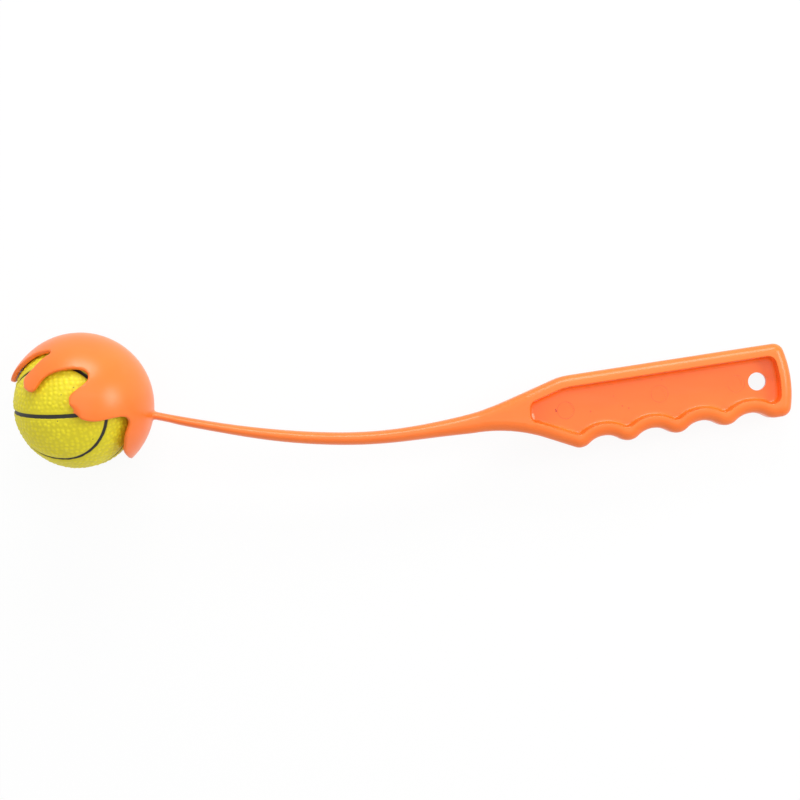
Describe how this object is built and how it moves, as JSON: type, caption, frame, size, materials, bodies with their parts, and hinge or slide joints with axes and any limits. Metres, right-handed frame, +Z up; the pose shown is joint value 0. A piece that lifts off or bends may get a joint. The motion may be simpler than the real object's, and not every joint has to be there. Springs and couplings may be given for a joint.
{
  "type": "dog ball thrower",
  "caption": "Curved moulded thrower with a finger-grooved grip and a six-fingered cup that holds a foam-rubber ball.",
  "frame": {"origin": "centre of the bounding box's base, with the thrower lying on its side on a table", "axes": "+X from the cup to the butt of the grip, +Y towards the grip's straight top edge, +Z up"},
  "size_m": [0.3532, 0.0618, 0.0667],
  "materials": {
    "orange_plastic": "satin injection-moulded orange plastic",
    "yellow_foam_rubber": "matte pebbled yellow foam rubber with dark seam lines"
  },
  "bodies": {
    "thrower": {"cup": "orange_plastic", "arm": "orange_plastic", "grip": "orange_plastic"},
    "ball": {"ball": "yellow_foam_rubber"}
  },
  "joints": [
    {"name": "ball_release", "type": "slide", "parent": "thrower", "child": "ball", "axis": [-0.4089, -0.912, 0.0315], "range_m": [0, 0.06]}
  ]
}
